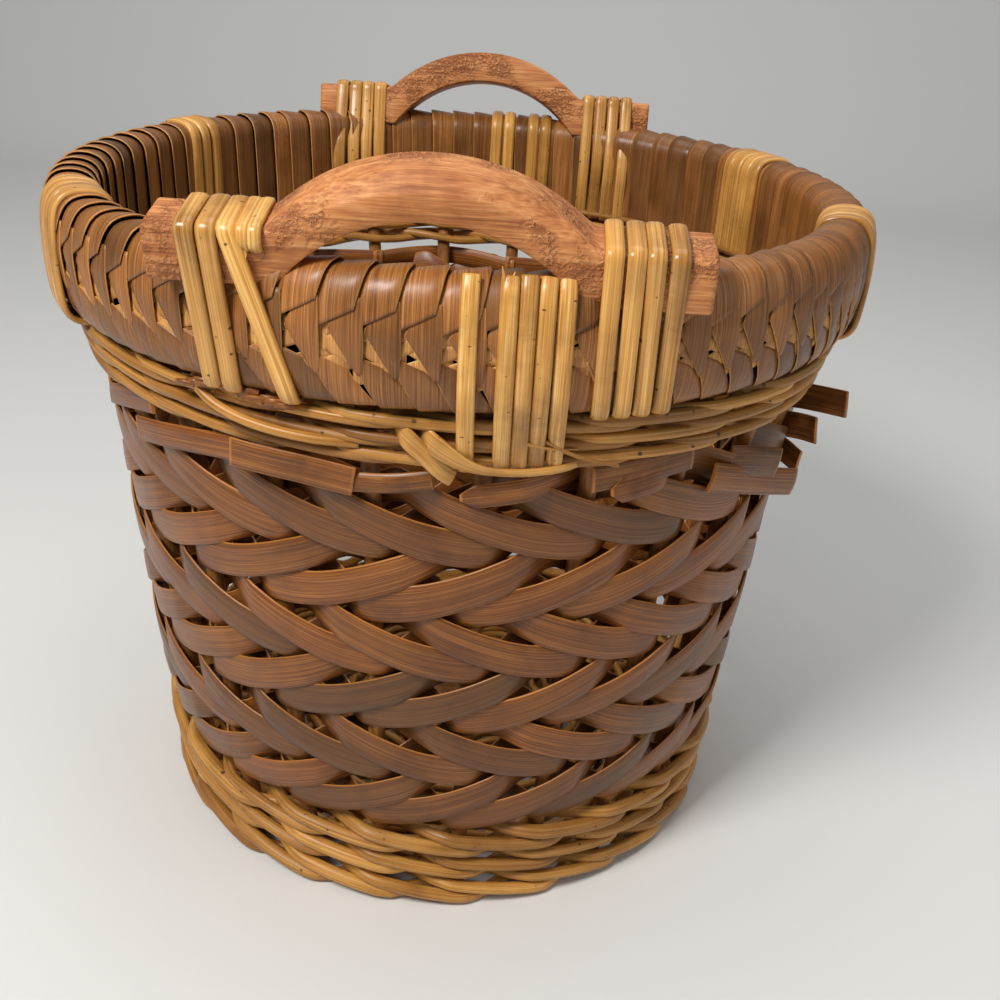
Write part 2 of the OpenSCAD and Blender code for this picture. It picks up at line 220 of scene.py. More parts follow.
def streaks_group():
    """Fine fibres: noise drawn out along the first coordinate, with a second finer layer."""
    tree, given, result = group("fibre streaks", {"Vector": None, "Along": 20.0, "Across": 900.0})
    scale = add(tree, "ShaderNodeCombineXYZ", {0: given["Along"], 1: given["Across"], 2: given["Across"]})
    place = add(tree, "ShaderNodeVectorMath", {0: given["Vector"], 1: scale.outputs[0]}, operation="MULTIPLY")
    broad = add(tree, "ShaderNodeTexNoise", {"Vector": place.outputs[0], "Scale": 1.0, "Detail": 3.0})
    fine = add(tree, "ShaderNodeTexNoise", {"Vector": place.outputs[0], "Scale": 3.1, "Detail": 2.0})
    both = worked(tree, "ADD", broad.outputs[0], fine.outputs[0])
    tree.links.new(worked(tree, "MULTIPLY", both, 0.5), result["Value"])
    return tree


def blotches_group():
    """Slow patches of colour: broad noise, pulled out of shape a little."""
    tree, given, result = group("colour patches", {"Vector": None, "Scale": 60.0})
    noise = add(tree, "ShaderNodeTexNoise", {"Vector": given["Vector"], "Scale": given["Scale"],
                                             "Detail": 4.0, "Roughness": 0.6, "Distortion": 0.4})
    tree.links.new(noise.outputs[0], result["Value"])
    return tree


def specks_group():
    """Small dark knots and dots: cells whose middle is nearer than a size that varies."""
    tree, given, result = group("specks", {"Vector": None, "Scale": 120.0, "Size": 0.16})
    cells = add(tree, "ShaderNodeTexVoronoi", {"Vector": given["Vector"], "Scale": given["Scale"]})
    pick = add(tree, "ShaderNodeSeparateColor", {0: cells.outputs["Color"]})
    size = worked(tree, "MULTIPLY", pick.outputs[0], given["Size"])
    close = worked(tree, "SUBTRACT", size, cells.outputs["Distance"])
    tree.links.new(worked(tree, "MULTIPLY", close, 14.0, clamp=True), result["Value"])
    return tree


STREAKS, BLOTCHES, SPECKS = streaks_group(), blotches_group(), specks_group()
SPECULAR = 0.35


def linear(colour):
    """An sRGB colour of 0 to 255 as linear values."""
    c = np.array(colour, float) / 255
    return tuple(np.where(c <= 0.04045, c / 12.92, ((c + 0.055) / 1.055) ** 2.4)) + (1.0,)


def ramp(tree, value, stops):
    """A colour ramp from (position, sRGB colour) stops."""
    node = add(tree, "ShaderNodeValToRGB", {0: value})
    elements = node.color_ramp.elements
    while len(elements) < len(stops):
        elements.new(0.5)
    for element, (position, colour) in zip(elements, stops):
        element.position = position
        element.color = linear(colour)
    return node.outputs[0]


def mixed(tree, factor, first, second, blend="MIX"):
    """The second colour laid over the first by a factor."""
    node = add(tree, "ShaderNodeMix", {0: factor, 6: first, 7: second}, data_type="RGBA", blend_type=blend)
    return node.outputs[2]


def placed(tree, effect, links):
    """The result of a node group, fed with its own values."""
    return add(tree, "ShaderNodeGroup", links, node_tree=effect).outputs[0]


def new_material(name):
    """A material, its node tree and the Principled BSDF in it."""
    material = bpy.data.materials.new(name)
    material.use_nodes = True
    return material, material.node_tree, material.node_tree.nodes["Principled BSDF"]


def fibre_material(name, dark, middle, light, aged, along=14.0, across=700.0, patches=45.0,
                   specks=0.0, rough=0.45, bump=0.25, coat=0.0, edge_highlight=0.5, own=True, spread=1.0):
    """A strip or rod of plant fibre: streaks along it, slow patches, a tone for each strip,
    dark specks, paler edges, and a fine bump from the same streaks. The paler edges are partly the
    strips' own split edges and partly a painted highlight where an edge catches the light. spread
    widens the step from dark to light. own says that the piece carries the grain, tone and edge
    attributes; otherwise Object coordinates are read, with the grain upright."""
    material, tree, shader = new_material(name)
    shader.inputs["Specular IOR Level"].default_value = SPECULAR
    if own:
        vector = add(tree, "ShaderNodeAttribute", attribute_name="grain").outputs["Vector"]
        tone = add(tree, "ShaderNodeAttribute", attribute_name="tone").outputs["Fac"]
    else:
        place = add(tree, "ShaderNodeTexCoord").outputs["Object"]
        axes = add(tree, "ShaderNodeSeparateXYZ", {0: place})
        order = {0: axes.outputs[2], 1: axes.outputs[0], 2: axes.outputs[1]}
        vector = add(tree, "ShaderNodeCombineXYZ", order).outputs[0]
        tone = placed(tree, BLOTCHES, {"Vector": place, "Scale": 9.0})
    streak = placed(tree, STREAKS, {"Vector": vector, "Along": along, "Across": across})
    patch = placed(tree, BLOTCHES, {"Vector": vector, "Scale": patches})
    colour = ramp(tree, streak, [(0.5 - 0.17 * spread, dark), (0.5, middle), (0.5 + 0.15 * spread, light)])
    age = ramp(tree, streak, [(0.34, tuple(0.72 * c for c in aged)), (0.62, aged)])
    colour = mixed(tree, tone, colour, age)
    shade = ramp(tree, patch, [(0.3, (178, 168, 156)), (0.5, (236, 232, 228)), (0.66, (255, 255, 255))])
    colour = mixed(tree, 0.85, colour, shade, "MULTIPLY")
    if specks:
        dots = placed(tree, SPECKS, {"Vector": vector, "Scale": 210.0, "Size": specks})
        colour = mixed(tree, dots, colour, linear([0.55 * c for c in dark]))
    # Paler edges: partly the strips' own split edges, partly a painted highlight where an edge catches the
    # light.
    if own and edge_highlight:
        edge = add(tree, "ShaderNodeAttribute", attribute_name="edge").outputs["Fac"]
        pale = tuple(min(255, 1.22 * c + 14) for c in light)
        colour = mixed(tree, worked(tree, "MULTIPLY", edge, edge_highlight), colour, linear(pale))
    tree.links.new(colour, shader.inputs["Base Color"])
    tree.links.new(ranged(tree, patch, 0.3, 0.7, rough - 0.08, rough + 0.12), shader.inputs["Roughness"])
    relief = add(tree, "ShaderNodeBump", {"Strength": bump, "Distance": 0.0004, "Height": streak})
    tree.links.new(relief.outputs[0], shader.inputs["Normal"])
    if coat:
        shader.inputs["Coat Weight"].default_value = coat
        shader.inputs["Coat Roughness"].default_value = 0.28
    return material


def handle_material():
    """Reddish carved wood: grain along X, slow shades, and patches with torn, pitted fibres."""
    material, tree, shader = new_material("carved handle wood")
    place = add(tree, "ShaderNodeTexCoord").outputs["Object"]
    grain = placed(tree, STREAKS, {"Vector": place, "Along": 26.0, "Across": 420.0})
    patch = placed(tree, BLOTCHES, {"Vector": place, "Scale": 38.0})
    colour = ramp(tree, grain, [(0.34, (158, 94, 50)), (0.5, (196, 128, 74)), (0.66, (220, 158, 102))])
    shade = ramp(tree, patch, [(0.32, (205, 186, 176)), (0.55, (255, 255, 255))])
    colour = mixed(tree, 0.8, colour, shade, "MULTIPLY")
    torn = placed(tree, BLOTCHES, {"Vector": place, "Scale": 30.0})
    where = ranged(tree, torn, 0.5, 0.58, 0.0, 1.0)
    pits = add(tree, "ShaderNodeTexNoise", {"Vector": place, "Scale": 850.0, "Detail": 2.0}).outputs[0]
    tear = worked(tree, "MULTIPLY", where, ranged(tree, pits, 0.42, 0.6, 1.0, 0.0))
    colour = mixed(tree, worked(tree, "MULTIPLY", tear, 0.6), colour, linear((118, 62, 32)))
    tree.links.new(colour, shader.inputs["Base Color"])
    height = worked(tree, "SUBTRACT", grain, tear)
    relief = add(tree, "ShaderNodeBump", {"Strength": 0.7, "Distance": 0.0009, "Height": height})
    tree.links.new(relief.outputs[0], shader.inputs["Normal"])
    shader.inputs["Roughness"].default_value = 0.58
    shader.inputs["Specular IOR Level"].default_value = SPECULAR
    return material


# Each is given its dark, middle and light colour and the colour of an aged strip.
SPLINT = fibre_material("brown splint", (72, 36, 12), (136, 79, 30), (184, 120, 56), (98, 68, 38),
                        along=11.0, across=1700.0, patches=32.0, rough=0.36, bump=0.2, coat=0.12, spread=1.1)
LEAF = fibre_material("rim leaf", (92, 50, 20), (158, 100, 48), (208, 148, 84), (116, 78, 42), across=1300.0,
                      patches=34.0, rough=0.37, bump=0.22, coat=0.1, edge_highlight=0.6, spread=1.2)
SLIVER = fibre_material("golden sliver", (160, 102, 46), (214, 154, 84), (244, 200, 130), (170, 110, 56),
                        across=1300.0, rough=0.4, bump=0.2, edge_highlight=0.4)
ROD = fibre_material("willow rod", (150, 94, 36), (204, 146, 68), (232, 186, 108), (156, 102, 46), along=9.0,
                     across=900.0, patches=24.0, specks=0.2, rough=0.38, bump=0.2, edge_highlight=0.0, spread=1.1)
CANE = fibre_material("bound cane", (170, 110, 42), (226, 166, 82), (248, 212, 140), (188, 128, 58),
                      along=9.0, across=1000.0, patches=18.0, specks=0.17, rough=0.3, bump=0.2, coat=0.2,
                      edge_highlight=0.0, spread=1.2)
STAKE = fibre_material("stake willow", (130, 78, 34), (178, 118, 58), (204, 148, 84), (140, 90, 46),
                       along=8.0, across=260.0, patches=30.0, own=False)
# Near-black painted shade: it stands for the shade in the gaps between the rim's leaves, on whichever of the
# rim's own nodes shows there, and for the shade inside the handles' holes.
PAINTED_SHADE = fibre_material("rim core", (40, 26, 18), (58, 38, 26), (76, 50, 34), (44, 30, 22),
                      rough=0.7, own=False)
WOOD = handle_material()


def noise_grain(along, across, seed):
    """Grain coordinates in metres: along the strip, across it, and an own place in the noise."""
    return np.stack(np.broadcast_arrays(along * MM, across * MM, seed), -1)


def strip_tone(rng, mean, spread, strips):
    """One tone for each strip, from 0 (fresh) to 1 (aged)."""
    return np.clip(rng.normal(mean, spread, (strips, 1, 1)), 0, 1)


# ---------------------------------------------------------------- woven strands
def strand_line(u, rise, out, bulge):
    """Height and offset of a rod of a three-strand wale at u pitches: level at +rise before the
    first stake (u 0.5), falling to -rise before the second (1.5), behind the third (2.5)."""
    v = np.mod(u, 3)
    fall = ease((v - 0.15) / 1.7) * 0.35 + np.clip((v - 0.3) / 1.4, 0, 1) * 0.65
    climb = ease((v - 2.1) / 0.85)
    height = rise * (1 - 2 * fall + 2 * climb)
    emerging = ease(v + 0.5)
    diving = ease(v - 1.5)
    returning = ease(v - 2.5)
    offset = np.where(v > 2.5, out * (2 * returning - 1), out * (2 * emerging - 1 - 2 * diving))
    hump = np.clip(1 - ((v - 1) / 0.75) ** 2, 0, 1)
    return height, offset + bulge * hump


def soft_wave(v, at, values, soft=0.07):
    """A closed line through (at, values) over three pitches, with its corners softened by the
    mean of nine places beside each other."""
    return np.mean([np.interp(v + s, at, values, period=3) for s in np.linspace(-soft, soft, 9)], 0)


def float_line(u, out):
    """Height over the row's foot and offset of a splint: it comes out from behind a stake high
    up, runs straight down over the end of the splint before it and across two stakes, and
    turns in sharply beside the second one."""
    v = np.mod(u, 3)
    height = soft_wave(v, [0, 0.25, 0.5, 0.75, 1.0, 1.25, 1.5, 1.7, 2.25, 2.75],
                       [24.3, 20.7, 17.0, 13.4, 10.4, 8.4, 7.4, 7.6, 18.2, 27.6])
    offset = soft_wave(v, [0.02, 0.2, 0.5, 0.8, 1.1, 1.45, 1.6, 1.7, 1.85, 2.0, 2.2, 2.55, 2.7, 2.88],
                       [out - 1.0, out + 1.0, out + 1.5, out + 1.2, out + 0.6, out + 0.1, out - 0.3,
                        out - 2.2, -1.5, 0.5 - out, -out, -out, -0.6 * out, 0.3], 0.04)
    return height, offset


def per_float(rng, u, shape, spread):
    """A value for each float that changes only behind the stakes, with its random spread."""
    change = 0.06
    values = rng.normal(0, spread, shape + (FLOATS + 1,))
    which = np.clip((u + 0.5) / 3, 0, FLOATS)
    low = np.floor(which).astype(int)
    part = ease((which - low - (1 - change)) / change)
    high = np.minimum(low + 1, FLOATS)
    return values[..., low] * (1 - part) + values[..., high] * part


def splint_row(i, rng):
    """Three splints of a herringbone row, on a grid of place along the row and across it."""
    side = 1 if i % 2 == 0 else -1
    u = BEHIND + np.linspace(0, STAKES, STAKES * SPLINT_STEPS + 1)
    out = STAKE_D / 2 + SPLINT_T / 2 + GAP
    height, offset = float_line(u, out)
    height = height + per_float(rng, u, (3,), 0.7)
    width = FLOAT_W / 2 * (1 + per_float(rng, u, (3,), 0.03))
    tilt = 0.2 + per_float(rng, u, (3,), 0.2)
    tone = np.clip(0.25 + per_float(rng, u, (3,), 0.3), 0, 1)
    middle = FLOAT_Z0 + (i - 1) * FLOAT_ROW + height
    c = FLAT_ACROSS
    z = middle[..., None] + c * width[..., None]
    r = wall_r(z) + offset[:, None] + SPLINT_T / 2 * FLAT_DEPTH - 0.5 * tilt[..., None] * c
    shift = np.arange(3)[:, None, None]
    angle = side * PITCH * (u[None, :, None] + shift)
    grain = noise_grain(u[None, :, None] * SPLINT_RUN, z - middle[..., None], 3.0 * i + shift + 0.37 * side)
    # Pale edges, the upper one much paler than the lower: partly the splints' own split edges, partly a
    # painted highlight along the upper edge, lit from above.
    edge = (np.abs(c) > 0.94) * (0.3 + 0.7 * (c > 0))
    return shell(f"woven_splints_{i}", spot(angle, r, z), SPLINT, [f"splint_row_{i}"],
                 grain, tone[..., None], edge)


def rod_round(name, node, z, rod, round_h, rng, wild=0.3):
    """Three willow rods of one round of waling; a rod is a circle carried along its line.
    wild is how far, in millimetres, a float may lie too high or low."""
    u = BEHIND + np.linspace(0, STAKES, STAKES * ROD_STEPS + 1)
    rise = (round_h - rod) / 2 - 0.1
    out = STAKE_D / 2 + rod / 2 + GAP
    height, offset = strand_line(u, rise, out, 0.3)
    wander = per_float(rng, u, (3,), wild)
    thick = rod / 2 * (1 + per_float(rng, u, (3,), 0.07))
    tone = np.clip(0.3 + per_float(rng, u, (3,), 0.25), 0, 1)
    middle = z + height + wander
    zz = middle[..., None] + thick[..., None] * np.sin(ROUND)
    r = wall_r(middle)[..., None] + offset[:, None] + thick[..., None] * np.cos(ROUND)
    shift = np.arange(3)[:, None, None]
    angle = PITCH * (u[None, :, None] + shift)
    grain = noise_grain(u[None, :, None] * ROD_RUN, rod * ROUND / 2, z + 7.0 * shift)
    return shell(name, spot(angle, r, zz), ROD, [node], grain, tone[..., None])


# ---------------------------------------------------------------- loose splints and rods
def strip_points(paths, half_across, depth, count):
    """Strips along paths of (angle, distance outside the stakes' circle, height): each path is
    rounded at its corners, and its section stands upright, square to the path."""
    corners = [np.array(path, float).T for path in paths]
    lines = np.array([smooth_line(spot(angle, wall_r(z) + off, z), count) for angle, off, z in corners])
    ahead = frames_along(lines)
    up = np.array([0, 0, 1.0]) - ahead * ahead[..., 2:3]
    up = up / np.linalg.norm(up, axis=-1, keepdims=True)
    out = np.cross(ahead, up)
    out = out * np.sign((out * lines * [1, 1, 0]).sum(-1, keepdims=True).mean(1, keepdims=True))
    return lines[:, :, None] + up[:, :, None] * half_across[..., None] + out[:, :, None] * depth[..., None]


def loose_splints(name, nodes, paths, widths, points_left, rng):
    """Short flat splints with cut ends. points_left narrows a strip's first end to a point."""
    count = 40
    widths = np.array(widths, float)[:, None, None]
    v = np.linspace(0, 1, count)[None, :, None]
    narrow = np.where(np.array(points_left)[:, None, None] > 0, np.minimum(1, 0.25 + v / 0.14), 1.0)
    across = FLAT_ACROSS * widths / 2 * narrow
    curl = 0.35 * rng.normal(size=(len(paths), 1, 1))
    depth = FLAT_DEPTH * SPLINT_T / 2 + curl * (FLAT_ACROSS ** 2)
    points = strip_points(paths, across, depth, count)
    grain = noise_grain(v * LOOSE_RUN, across, rng.uniform(0, 60, (len(paths), 1, 1)))
    # Pale sides and cut ends: partly fresh cut fibre, partly a painted highlight.
    edge = np.maximum(np.abs(FLAT_ACROSS) > 0.94, (v < 0.02) | (v > 0.98)) * 0.8
    return shell(name, points, SPLINT, nodes, grain, strip_tone(rng, 0.2, 0.2, len(paths)), edge)


def loose_rods(name, paths, thick, rng, count=60):
    """Thin rods laid over the waling."""
    thick = np.array(thick, float)[:, None, None]
    points = strip_points(paths, np.sin(ROUND) * thick / 2, np.cos(ROUND) * thick / 2, count)
    along = np.linspace(0, LOOSE_RUN, count)[None, :, None]
    grain = noise_grain(along, ROUND * 1.6, rng.uniform(0, 60, (len(paths), 1, 1)))
    return shell(name, points, ROD, (), grain, strip_tone(rng, 0.25, 0.2, len(paths)))


def split_canes(name, paths, widths, rng, count=60):
    """Split cane laid along paths: flat behind and rounded in front. widths are (at the first
    end, at the last end), and the width falls between them within the first half."""
    first, last = np.array(widths, float).T[:, :, None, None]
    half = (first + (last - first) * ease(np.linspace(0, 2, count))[None, :, None]) / 2
    points = strip_points(paths, HALF_ACROSS * half, HALF_DEPTH * 1.1, count)
    along = np.linspace(0, LOOSE_RUN, count)[None, :, None]
    grain = noise_grain(along, HALF_ACROSS * 2, rng.uniform(0, 60, (len(paths), 1, 1)))
    return shell(name, points, CANE, (), grain, strip_tone(rng, 0.25, 0.2, len(paths)))


# The course above the herringbone, as it lies in the photograph at the front: the ends
# are cut off short, some stick out, and the others are tucked under the willow.
FRONT_SPLINTS = [
    ([(-69, 3, 176), (-62, 6.6, 181), (-52, 7.2, 189), (-41, 6.4, 195)], 7.5, 0),
    ([(-48, 6.6, 180), (-41, 7.4, 184), (-32, 7.0, 188), (-25, 6.6, 190)], 8.6, 0),
    ([(-25, 10.4, 191), (-21, 9.8, 190.5), (-15, 8.4, 189.5), (-8.8, 7.4, 187.2)], 9.6, 0),
    ([(-9.2, 6.8, 186.5), (-4, 7.2, 187.5), (1, 6.8, 190)], 6.6, 0),
    ([(4.5, 7.4, 184.5), (9, 7.8, 186), (14, 7.2, 187.5), (22, -5.2, 187)], 7.8, 1),
    ([(21.5, 6.6, 189), (27, 6.8, 190), (32, 6.4, 190.5), (37, 5.6, 191)], 8.8, 0),
    ([(24.2, 8.2, 184.2), (29, 8.2, 186), (33, 6.8, 186.5), (37.5, -5.2, 186)], 9.4, 1),
    ([(42.2, 6.8, 180), (48, 7.6, 175.5), (56, 9.4, 169), (64.5, 15.0, 162.5)], 10.4, 0),
    ([(47.0, 4.0, 182.5), (50, 6.6, 181.5), (54, 8.8, 178.5), (57.6, 11.2, 175.8)], 10.8, 0),
    ([(75, -5, 186), (73.5, 4, 188), (71.5, 13, 189.5), (70, 22, 190.5)], 10.2, 0),
    ([(73.5, -5, 176), (71.5, 3, 177.5), (70, 9.5, 179), (68, 15.5, 180.3)], 10.2, 0),
    ([(77, -5, 168), (74, 2, 167), (72, 8, 165.5), (70, 13, 164.5)], 10.0, 0)]


def back_splints(rng):
    """The same course round the rest of the basket: each splint passes before one stake and
    is tucked behind the next two, at a height that wanders."""
    paths = []
    for start in np.arange(82.5, 285, 30.0):
        z = 187.0 + 1.2 * rng.normal(size=4)
        paths.append(([(start - 1, -5.2, z[0]), (start + 7.5, 0.2, z[1]), (start + 15, 6.4, z[1]),
                       (start + 22.5, 0.2, z[2]), (start + 31, -5.4, z[3])], 9.0 + 0.4 * rng.normal(), 0))
    return paths


# ---------------------------------------------------------------- plaited rim
# Up the inside, over the crest and down the outside, as (radius, height).
RIM_SECTION = smooth_line([
    (133.9, RIM_Z0 - 0.4), (133.9, RIM_Z1 - 6), (134.6, RIM_Z1 - 2.4), (137.6, RIM_Z1 - 0.4),
    (142.0, RIM_Z1 + 0.2), (146.4, RIM_Z1 - 1.2), (148.6, RIM_Z1 - 6), (149.6, RIM_Z1 - 13),
    (149.9, RIM_Z1 - 21), (149.3, RIM_Z1 - 30), (147.6, RIM_Z0 + 3), (145.2, RIM_Z0 - 0.2)], 400, 2)
SECTION_AT = np.concatenate([[0], np.cumsum(np.linalg.norm(np.diff(RIM_SECTION, axis=0), axis=1))])
CREST = SECTION_AT[RIM_SECTION[:, 1].argmax()]


def outer_at(z):
    """Place along the rim's section where its outer side is at height z."""
    outer = SECTION_AT > CREST
    return np.interp(-z, -RIM_SECTION[outer, 1], SECTION_AT[outer])


def on_rim(angle, side, place, lift):
    """Points on the rim: an angle, a distance sideways, a place along the section, and a lift
    square to it."""
    r = np.interp(place, SECTION_AT, RIM_SECTION[:, 0])
    z = np.interp(place, SECTION_AT, RIM_SECTION[:, 1])
    ahead = np.gradient(RIM_SECTION, SECTION_AT, axis=0)
    dr = np.interp(place, SECTION_AT, ahead[:, 0])
    dz = np.interp(place, SECTION_AT, ahead[:, 1])
    length = np.hypot(dr, dz)
    r = r - lift * dz / length
    z = z + lift * dr / length
    return spot(angle + np.degrees(side / RIM_R), r, z)


LEAVES = 84
LEAF_PITCH = 2 * math.pi * 148.5 / LEAVES
LEAF_T = 0.8
PLACE_0 = 0.6   # where the leaves begin and end, from the ends of the rim's section


def leaves(name, nodes, outline, rings, rng, lift, wild, material=LEAF):
    """A ring of flat leaves on the rim. outline gives, for v from 0 to 1 along the leaf and c
    from -1 to 1 across it, the sideways distance, the place along the section and the lift.
    wild is how far, in millimetres, a leaf is moved sideways and made longer or shorter."""
    v = np.linspace(0, 1, rings)[None, :, None]
    c = FLAT_ACROSS[None, None, :]
    turn = rng.normal(0, wild, (LEAVES, 1, 1))
    stretch = rng.normal(0, wild, (LEAVES, 1, 1))
    side, place, rise = outline(v, c, stretch)
    angle = np.arange(LEAVES)[:, None, None] * 360 / LEAVES + np.zeros_like(v * c)
    depth = LEAF_T / 2 * FLAT_DEPTH
    thin_end = np.minimum(1, 0.35 + 6 * (1 - v))
    points = on_rim(angle, side + turn, place, rise + lift + depth * thin_end)
    grain = noise_grain(place, side, np.arange(LEAVES)[:, None, None] * 1.7)
    tone = strip_tone(rng, 0.3, 0.24, LEAVES)
    # Pale leaf edges: partly their own split edges, partly a painted highlight.
    return shell(name, points, material, nodes, grain, tone, np.abs(c) > 0.94)


def upper_outline(v, c, stretch):
    """Over the crest: up the inside, then down and to the left outside. The lower end is
    cut on a slant, with its point at the left."""
    cut, slant, drift_out, drift_in = 12.8, 3.9, 4.6, 1.5
    half = LEAF_PITCH / 2 * 1.12
    end = outer_at(RIM_Z1 - cut + slant * c + stretch)
    place = PLACE_0 + v * (end - PLACE_0)
    down = np.clip((place - CREST) / 18, 0, 1.2)
    side = c * half - drift_out * down - drift_in * np.clip((CREST - place) / 36, 0, 1)
    return side, place, 0.8 + 0.8 * c + 0.4 * down


def middle_outline(v, c, stretch):
    """Arrowheads: from under the upper leaf, with a point at the left and a long right edge
    that comes down to the lower leaves. belly is how far the leaf reaches to the left: most
    at the point."""
    point = 0.4
    top = RIM_Z1 - 6.5 + 0.5 * stretch
    bottom = RIM_Z1 - 28.5 + stretch
    z = top + v * (bottom - top)
    belly = np.where(v < point, 0.55 + 0.45 * v / point, (1 - v) / (1 - point))
    left = 3.4 - 8.6 * belly
    right = 4.6 + 0.6 * np.sin(np.pi * v)
    side = left + (right - left) * (c + 1) / 2
    return side + 0.6 * stretch, outer_at(z), 0.5 + 0.5 * c * (1 - v) + 0.7 * belly


def sliver_outline(low, high, half):
    """A thin strip across the rim, from height low at its left end to height high."""
    def outline(v, c, stretch):
        """One strip, a little humped in its middle."""
        z = low + v * (high - low) + c * half + 0.8 * stretch
        return -8.5 + 15 * v + stretch, outer_at(z), -0.5 + 0.35 * np.sin(np.pi * v) + 0.0 * c
    return outline


def lower_outline(v, c, stretch):
    """Below: from under the arrowheads down to the right, round the rim's lower edge."""
    cut, slant, drift = 23.8, 2.4, 8.5
    half = LEAF_PITCH / 2 * 1.1
    start = outer_at(RIM_Z1 - cut - slant * c + stretch)
    end = SECTION_AT[-1] - PLACE_0
    place = start + v * (end - start)
    side = c * half - 4.5 + drift * v
    return side, place, 0.15 - 0.4 * c


# ---------------------------------------------------------------- handles
def handle_top(x):
    """Height of a handle's upper face over its blocks' bottom: a circle's arc and the blocks' flat
    top, joined softly as log(exp(sharp * arc) + 1) / sharp, then lowered a little."""
    sharp, lowered = 1.2, 0.15
    rise = ARCH_H - BLOCK_H
    crown = (ARCH_HALF ** 2 + rise ** 2) / (2 * rise)
    arch = ARCH_H - crown + np.sqrt(np.maximum(crown ** 2 - x ** 2, 0))
    soft = np.log(np.exp((arch - BLOCK_H) * sharp) + 1) / sharp
    return np.where(np.abs(x) < ARCH_HALF + 10, BLOCK_H + soft, BLOCK_H) - lowered


def handle_bottom(x):
    """Height of its lower face: the finger gap's arc, then the blocks' flat bottom."""
    crown = (GRIP_HALF ** 2 + GRIP_H ** 2) / (2 * GRIP_H)
    arc = GRIP_H - crown + np.sqrt(np.maximum(crown ** 2 - x ** 2, 0))
    return np.maximum(arc, 0)


def leant(x, y, z, turn):
    """Points given square to a handle's blocks, leant outwards over the rim. turn is 1 for the
    front handle and -1 for the back one."""
    lean = math.radians(HANDLE_LEAN)
    yy = -HANDLE_Y + y * math.cos(lean) - z * math.sin(lean)
    zz = SEAT_Z + y * math.sin(lean) + z * math.cos(lean)
    return np.stack(np.broadcast_arrays(turn * x, turn * yy, zz), -1)


def handle(name, node, turn):
    """A carved handle: a rounded four-sided section, chamfered at the front of the arch, carried
    along X between the lower and upper face, then leant outwards over the rim."""
    block_chamfer, arch_chamfer_more, fade, soft = 1.1, 3.4, 16, 0.9
    half = HANDLE_L / 2
    x = np.concatenate([[-half, -half + 0.3, -half + 0.9], np.linspace(-half + 2, half - 2, 150),
                        [half - 0.9, half - 0.3, half]])
    inset = np.zeros_like(x)
    inset[[0, -1]] = 0.9
    inset[[1, -2]] = 0.35
    top, low = handle_top(x) - inset, handle_bottom(x) + inset
    depth = HANDLE_T / 2 - inset
    cut = block_chamfer + arch_chamfer_more * ease((ARCH_HALF - np.abs(x)) / fade)
    corners = [(-depth, low + soft), (-depth, top - cut - 0.5), (-depth + 0.35, top - cut + 0.2),
               (-depth + cut - 0.3, top - 0.5), (-depth + cut + 0.5, top), (depth - soft - 0.5, top),
               (depth - 0.3, top - 0.4), (depth, top - soft - 0.4), (depth, low + soft),
               (depth - 0.3, low + 0.3), (depth - soft, low), (-depth + soft, low), (-depth + 0.3, low + 0.3)]
    y, z = (np.stack([np.broadcast_to(p[i], x.shape) for p in corners], -1) for i in (0, 1))
    return shell(name, leant(x[:, None], y, z, turn)[None], WOOD, [node])


# ---------------------------------------------------------------- cane bindings
def cane(lines, outward, width=CANE_W, thick=CANE_T):
    """Half-round cane along lines [strand, ring, xyz]; outward is the side that bulges."""
    ahead = frames_along(lines)
    out = outward - (outward * ahead).sum(-1, keepdims=True) * ahead
    out = out / np.linalg.norm(out, axis=-1, keepdims=True)
    across = np.cross(ahead, out)
    return (lines[:, :, None] + across[:, :, None] * (HALF_ACROSS[:, None] * width / 2)
            + out[:, :, None] * (HALF_DEPTH[:, None] * thick))


def loop_corners(holds, low):
    """Corners (distance outwards, height, follows the rim) that a strand bends at, from the
    inside over the top to the outside. A corner that follows the rim lies on its circle, and
    another lies in a plane along the handle."""
    if low:
        start = [(124.6, FRONT_FOOT - 0.9, 1), (125.2, FRONT_FOOT + 3, 1)]
        end = [(146.6, RIM_Z0 - 2, 1), (140.6, FRONT_FOOT + 5, 1), (138.4, FRONT_FOOT, 1),
               (134.0, FRONT_FOOT - 1.8, 1)]
    else:
        start = [(137.0, RIM_Z0 - 1.6, 1), (132.6, RIM_Z0 - 1.6, 1)]
        end = [(149.2, RIM_Z0 + 0.6, 1), (145.0, RIM_Z0 - 1.8, 1), (139.0, RIM_Z0 - 1.8, 1)]
    inside = [(132.6, RIM_Z0 + 4, 1), (132.6, RIM_Z1 - 7, 1)]
    over = [(133.4, RIM_Z1 - 1.4, 1), (137.5, RIM_Z1 + 1.0, 1), (145.5, RIM_Z1 + 1.2, 1),
            (149.4, RIM_Z1 - 2, 1), (150.8, RIM_Z1 - 9, 1), (151.2, RIM_Z1 - 20, 1), (150.4, RIM_Z0 + 6, 1)]
    if holds:
        inside = [(132.6, RIM_Z0 + 4, 1), (130.6, RIM_Z1 - 14, 1)]
        over = [(126.6, SEAT_Z + 15, 0), (127.0, SEAT_Z + 18.2, 0), (128.6, SEAT_Z + 18.3, 0),
                (144.4, SEAT_Z + 15.2, 0), (145.7, SEAT_Z + 14.6, 0), (146.0, SEAT_Z + 13.0, 0),
                (150.7, RIM_Z0 + 9, 1)]
    return np.array(start + inside + over + end, float)


